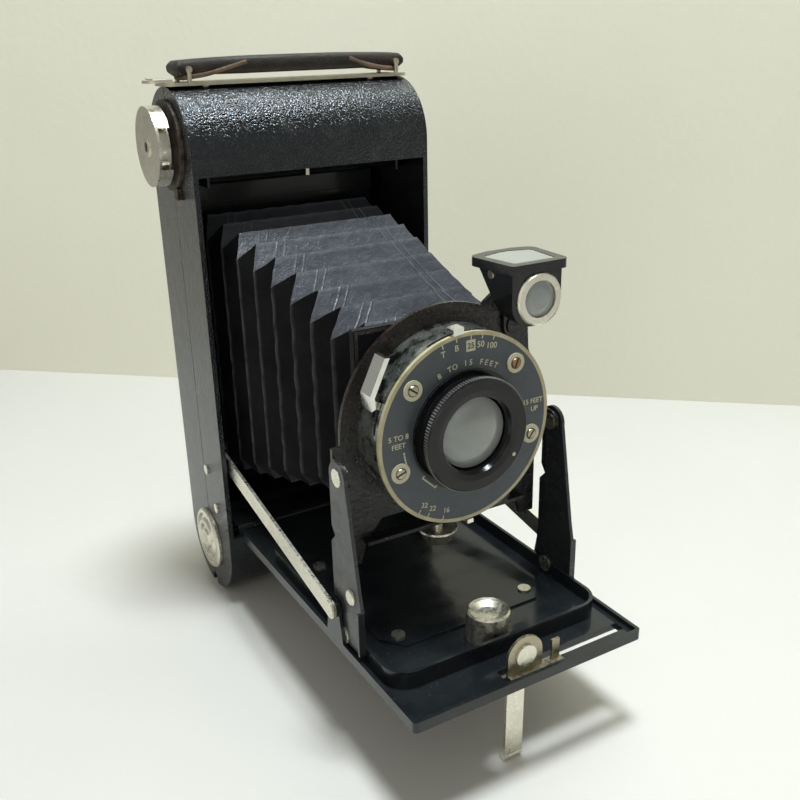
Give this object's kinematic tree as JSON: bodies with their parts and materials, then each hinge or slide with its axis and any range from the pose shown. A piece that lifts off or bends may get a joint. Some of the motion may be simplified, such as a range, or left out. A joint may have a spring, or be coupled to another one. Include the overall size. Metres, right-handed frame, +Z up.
{
  "type": "folding bellows camera",
  "caption": "Self-erecting folding bellows camera for roll film, with a drop bed, lens standard, between-lens shutter, reflecting finder and folding support leg.",
  "frame": {"origin": "under the middle of the body, on the line where its round bottom end meets the ground, in the plane where the back cover closes", "axes": "+X to the right seen from the front, +Y towards the back cover, +Z up"},
  "size_m": [0.0887, 0.1527, 0.178],
  "materials": {
    "leather_black": "pebbled, satin",
    "bellows_leather": "smooth folded, matte",
    "strap_leather": "worn, brown at the edges",
    "black_enamel": "gloss baked enamel",
    "black_crackle": "crackle enamel, worn to rust at the edge",
    "barrel_black": "satin black over brass",
    "slate_face": "satin enamel with cream lettering",
    "nickel": "aged nickel plate",
    "bright_nickel": "polished nickel plate",
    "plain_steel": "plain",
    "lens_glass": "coated by age",
    "red_pane": "deep red",
    "silvered_glass": "polished"
  },
  "bodies": {
    "camera_body": {"front_shell": "black_enamel", "front_leather": "leather_black", "inner_frame": "black_enamel", "cover_hinge_pin": "plain_steel", "spool_pins": "plain_steel", "key_collar": "nickel", "bed_latch_pin": "nickel", "bellows": "bellows_leather", "strut_guides": "black_enamel", "side_rivets": "nickel", "handle_rail": "nickel", "handle_strap": "strap_leather", "bed_hinge_pin": "plain_steel"},
    "back_cover": {"rear_shell": "black_enamel", "rear_leather": "leather_black", "window_ring": "plain_steel", "red_window": "red_pane", "pressure_spring": "plain_steel"},
    "film_pressure": {"pressure_plate": "black_enamel"},
    "back_latch": {"back_latch": "nickel"},
    "take_up": {"winding_key": "nickel", "take_up_spool": "plain_steel"},
    "spool_knob": {"spool_knob": "nickel"},
    "upper_roller": {"film_roller_upper": "plain_steel"},
    "lower_roller": {"film_roller_lower": "plain_steel"},
    "bed": {"bed_plate": "black_enamel", "bed_leather": "leather_black", "bed_tray": "black_enamel", "tripod_bush": "nickel", "tray_screws": "nickel", "leg_bracket": "nickel", "bed_rivets": "nickel"},
    "support_leg": {"support_leg": "nickel"},
    "left_arm": {"arm_left": "black_enamel"},
    "right_arm": {"arm_right": "black_enamel"},
    "left_strut": {"strut_left": "nickel"},
    "right_strut": {"strut_right": "nickel"},
    "standard": {"lens_board": "black_crackle", "shutter_case": "bright_nickel", "shutter_face": "slate_face", "face_screws": "nickel", "lens_mount": "barrel_black", "rear_cell": "barrel_black", "rear_glass": "lens_glass", "shutter_plate": "black_enamel", "iris_leaves": "barrel_black", "standard_rivets": "nickel"},
    "standard_release": {"standard_release": "nickel"},
    "front_cell": {"focus_ring": "barrel_black", "front_glass": "lens_glass"},
    "release_lever": {"release_lever": "bright_nickel"},
    "speed_lever": {"speed_lever": "bright_nickel"},
    "aperture_lever": {"aperture_lever": "bright_nickel"},
    "left_blade": {"blade_left": "barrel_black"},
    "right_blade": {"blade_right": "barrel_black"},
    "finder": {"finder_case": "black_enamel", "finder_top_glass": "lens_glass", "finder_bezel": "bright_nickel", "finder_lens": "lens_glass", "finder_mirror": "silvered_glass"}
  },
  "joints": [
    {"name": "bed_fold", "type": "hinge", "parent": "camera_body", "child": "bed", "pos_m": [0, -0.01725, 0.028], "axis": [-1, 0, 0], "range_deg": [0, 90], "deforming": ["bellows"]},
    {"name": "left_arm_fold", "type": "hinge", "parent": "bed", "child": "left_arm", "pos_m": [-0.0347, -0.09525, 0.032], "axis": [-1, 0, 0], "range_deg": [0, 73.08]},
    {"name": "right_arm_fold", "type": "hinge", "parent": "bed", "child": "right_arm", "pos_m": [0.0347, -0.09525, 0.032], "axis": [-1, 0, 0], "range_deg": [0, 73.08]},
    {"name": "standard_fold", "type": "hinge", "parent": "left_arm", "child": "standard", "pos_m": [-0.0347, -0.09485, 0.0787], "axis": [-1, 0, 0], "range_deg": [-163.08, 0]},
    {"name": "left_strut_fold", "type": "hinge", "parent": "bed", "child": "left_strut", "pos_m": [-0.0372, -0.09135, 0.0387], "axis": [-1, 0, 0], "range_deg": [0, 13.1]},
    {"name": "right_strut_fold", "type": "hinge", "parent": "bed", "child": "right_strut", "pos_m": [0.0372, -0.09135, 0.0387], "axis": [-1, 0, 0], "range_deg": [0, 13.1]},
    {"name": "back_open", "type": "hinge", "parent": "camera_body", "child": "back_cover", "pos_m": [0, 0, 0.0015], "axis": [-1, 0, 0], "range_deg": [0, 100]},
    {"name": "plate_press", "type": "slide", "parent": "back_cover", "child": "film_pressure", "axis": [0, 1, 0], "range_m": [0, 0.0008], "stiffness_N_per_m": 600, "deforming": ["pressure_spring"]},
    {"name": "latch_slide", "type": "slide", "parent": "camera_body", "child": "back_latch", "axis": [-1, 0, 0], "range_m": [0, 0.004]},
    {"name": "film_wind", "type": "hinge", "parent": "camera_body", "child": "take_up", "pos_m": [0, 0, 0.153], "axis": [1, 0, 0], "continuous": true},
    {"name": "upper_roller_turn", "type": "hinge", "parent": "camera_body", "child": "upper_roller", "pos_m": [0, 0.01275, 0.1429], "axis": [1, 0, 0], "continuous": true},
    {"name": "lower_roller_turn", "type": "hinge", "parent": "camera_body", "child": "lower_roller", "pos_m": [0, 0.01275, 0.0281], "axis": [1, 0, 0], "continuous": true},
    {"name": "knob_pull", "type": "slide", "parent": "camera_body", "child": "spool_knob", "axis": [-1, 0, 0], "range_m": [0, 0.006], "stiffness_N_per_m": 300},
    {"name": "leg_fold", "type": "hinge", "parent": "bed", "child": "support_leg", "pos_m": [-0.0008, -0.1282, 0.0335], "axis": [0, -1, 0], "range_deg": [0, 90]},
    {"name": "release_press", "type": "hinge", "parent": "standard", "child": "release_lever", "pos_m": [0, -0.0986, 0.0863], "axis": [0, -1, 0], "range_deg": [0, 14], "stiffness_Nm_per_rad": 0.02},
    {"name": "left_blade_swing", "type": "hinge", "parent": "standard", "child": "left_blade", "pos_m": [0, -0.0964, 0.0693], "axis": [0, -1, 0], "range_deg": [0, 35.5]},
    {"name": "right_blade_swing", "type": "hinge", "parent": "standard", "child": "right_blade", "pos_m": [0, -0.0959, 0.0693], "axis": [0, -1, 0], "range_deg": [-35.5, 0]},
    {"name": "speed_set", "type": "hinge", "parent": "standard", "child": "speed_lever", "pos_m": [0, -0.0996, 0.0863], "axis": [0, -1, 0], "range_deg": [-26, 12]},
    {"name": "aperture_set", "type": "hinge", "parent": "standard", "child": "aperture_lever", "pos_m": [0, -0.0933, 0.0863], "axis": [0, -1, 0], "range_deg": [-36, 14]},
    {"name": "focus_turn", "type": "hinge", "parent": "standard", "child": "front_cell", "pos_m": [0, -0.104, 0.0863], "axis": [0, -1, 0], "range_deg": [0, 240]},
    {"name": "finder_turn", "type": "hinge", "parent": "standard", "child": "finder", "pos_m": [0.0225, -0.091, 0.1085], "axis": [0, -1, 0], "range_deg": [-90, 0]},
    {"name": "standard_release_press", "type": "slide", "parent": "standard", "child": "standard_release", "axis": [0, 0, -1], "range_m": [0, 0.001], "stiffness_N_per_m": 400}
  ],
  "couplings": [
    {"joint": "left_arm_fold", "follows": "bed_fold", "ratio": 0.80643},
    {"joint": "right_arm_fold", "follows": "bed_fold", "ratio": 0.80643},
    {"joint": "standard_fold", "follows": "bed_fold", "ratio": -1.8064},
    {"joint": "left_strut_fold", "follows": "bed_fold", "ratio": 0.14},
    {"joint": "right_strut_fold", "follows": "bed_fold", "ratio": 0.14},
    {"joint": "left_blade_swing", "follows": "release_press", "ratio": 2.5},
    {"joint": "right_blade_swing", "follows": "release_press", "ratio": -2.5}
  ]
}
